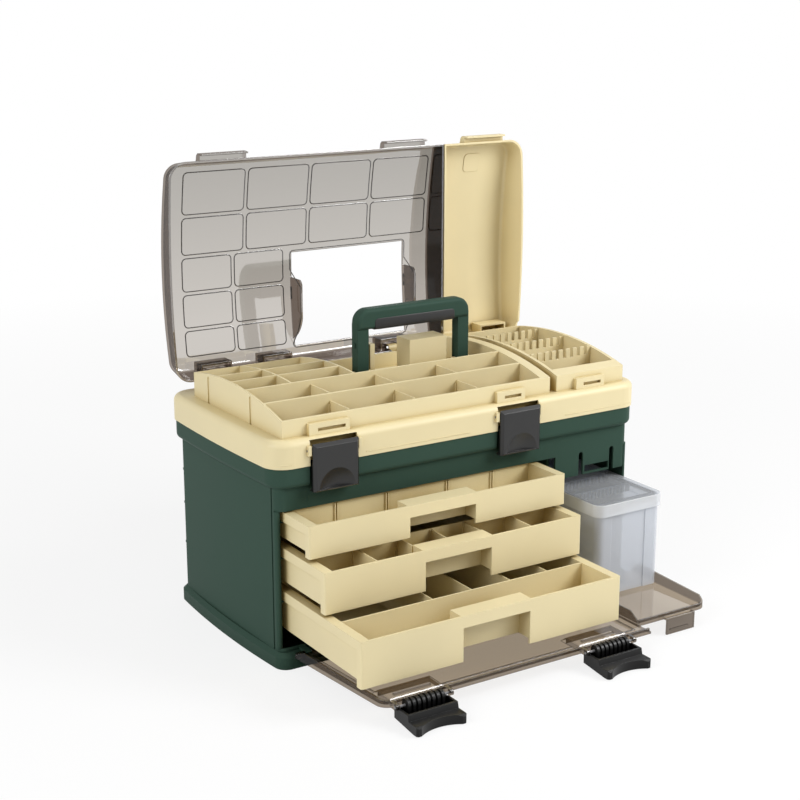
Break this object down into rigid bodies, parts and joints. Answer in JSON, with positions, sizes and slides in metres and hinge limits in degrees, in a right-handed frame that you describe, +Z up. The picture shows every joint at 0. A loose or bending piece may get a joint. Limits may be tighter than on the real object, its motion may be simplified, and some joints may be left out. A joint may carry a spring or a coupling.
{
  "type": "tackle box",
  "caption": "Hard plastic tackle box, shown open: hinged tray lid under two top lids, hanging drawers, fold-down doors, a clear lure box and a folding handle.",
  "frame": {"origin": "middle of the cabinet's underside, on the floor", "axes": "+X along the box's length towards the lure box bay, -Y out of the front where the drawers and doors open, +Z up"},
  "size_m": [0.5648, 0.5443, 0.5955],
  "materials": {
    "green_plastic": "satin, fine grain",
    "cream_plastic": "satin",
    "black_plastic": "semi-gloss",
    "smoke_plastic": "smoke-tinted, transparent, gloss",
    "clear_plastic": "clear, faintly frosted",
    "pin_plastic": "smooth",
    "rod_steel": "drawn rod"
  },
  "bodies": {
    "cabinet": {"cabinet_shell": "green_plastic", "main_hinge_rods": "rod_steel", "door_rods": "rod_steel"},
    "drawer_top": {"drawer_top": "cream_plastic"},
    "drawer_middle": {"drawer_middle": "cream_plastic", "drawer_middle_dividers": "cream_plastic"},
    "drawer_bottom": {"drawer_bottom": "cream_plastic", "drawer_bottom_dividers": "cream_plastic"},
    "main_lid": {"tray_lid": "cream_plastic", "tray_dividers": "cream_plastic", "comb_racks": "cream_plastic", "handle_pins": "pin_plastic", "lid_latch_pins": "pin_plastic"},
    "smoke_lid": {"smoke_lid": "smoke_plastic"},
    "side_lid": {"side_lid": "cream_plastic"},
    "handle": {"handle": "green_plastic", "handle_grip": "black_plastic"},
    "lid_latch_left": {"lid_latch_left": "black_plastic"},
    "lid_latch_right": {"lid_latch_right": "black_plastic"},
    "main_door": {"main_door": "smoke_plastic", "door_latch_pins": "pin_plastic"},
    "bay_door": {"bay_door": "smoke_plastic"},
    "door_latch_left": {"door_latch_left": "black_plastic"},
    "door_latch_right": {"door_latch_right": "black_plastic"},
    "lure_box": {"lure_box": "clear_plastic", "lure_box_lid": "clear_plastic", "lure_box_comb": "clear_plastic"}
  },
  "joints": [
    {"name": "top_drawer_slide", "type": "slide", "parent": "cabinet", "child": "drawer_top", "axis": [0, -1, 0], "range_m": [-0.0573, 0.1277]},
    {"name": "middle_drawer_slide", "type": "slide", "parent": "cabinet", "child": "drawer_middle", "axis": [0, -1, 0], "range_m": [-0.0917, 0.0933]},
    {"name": "bottom_drawer_slide", "type": "slide", "parent": "cabinet", "child": "drawer_bottom", "axis": [0, -1, 0], "range_m": [-0.1718, 0.0132]},
    {"name": "lure_box_slide", "type": "slide", "parent": "cabinet", "child": "lure_box", "axis": [0, -1, 0], "range_m": [-0.0827, 0.08]},
    {"name": "main_lid_hinge", "type": "hinge", "parent": "cabinet", "child": "main_lid", "pos_m": [0, 0.1528, 0.2536], "axis": [-1, 0, 0], "range_deg": [0, 95]},
    {"name": "smoke_lid_hinge", "type": "hinge", "parent": "main_lid", "child": "smoke_lid", "pos_m": [-0.0908, 0.139, 0.3045], "axis": [1, 0, 0], "range_deg": [0, 90]},
    {"name": "side_lid_hinge", "type": "hinge", "parent": "main_lid", "child": "side_lid", "pos_m": [0.235, 0.139, 0.3045], "axis": [1, 0, 0], "range_deg": [0, 90]},
    {"name": "handle_fold", "type": "hinge", "parent": "main_lid", "child": "handle", "pos_m": [0.0087, 0.003, 0.312], "axis": [-1, 0, 0], "range_deg": [0, 90]},
    {"name": "left_lid_latch_pivot", "type": "hinge", "parent": "main_lid", "child": "lid_latch_left", "pos_m": [-0.197, -0.146, 0.273], "axis": [-1, 0, 0], "range_deg": [0, 90]},
    {"name": "right_lid_latch_pivot", "type": "hinge", "parent": "main_lid", "child": "lid_latch_right", "pos_m": [0.076, -0.146, 0.273], "axis": [-1, 0, 0], "range_deg": [0, 90]},
    {"name": "main_door_hinge", "type": "hinge", "parent": "cabinet", "child": "main_door", "pos_m": [-0.059, -0.15, 0.0188], "axis": [-1, 0, 0], "range_deg": [0, 2.5]},
    {"name": "bay_door_hinge", "type": "hinge", "parent": "cabinet", "child": "bay_door", "pos_m": [0.21, -0.15, 0.0188], "axis": [-1, 0, 0], "range_deg": [0, 1]},
    {"name": "left_door_latch_pivot", "type": "hinge", "parent": "main_door", "child": "door_latch_left", "pos_m": [-0.1954, -0.3385, 0.0225], "axis": [-1, 0, 0], "range_deg": [0, 105]},
    {"name": "right_door_latch_pivot", "type": "hinge", "parent": "main_door", "child": "door_latch_right", "pos_m": [0.0774, -0.3385, 0.0225], "axis": [-1, 0, 0], "range_deg": [0, 105]}
  ],
  "couplings": [
    {"joint": "handle_fold", "follows": "smoke_lid_hinge", "ratio": 1}
  ]
}
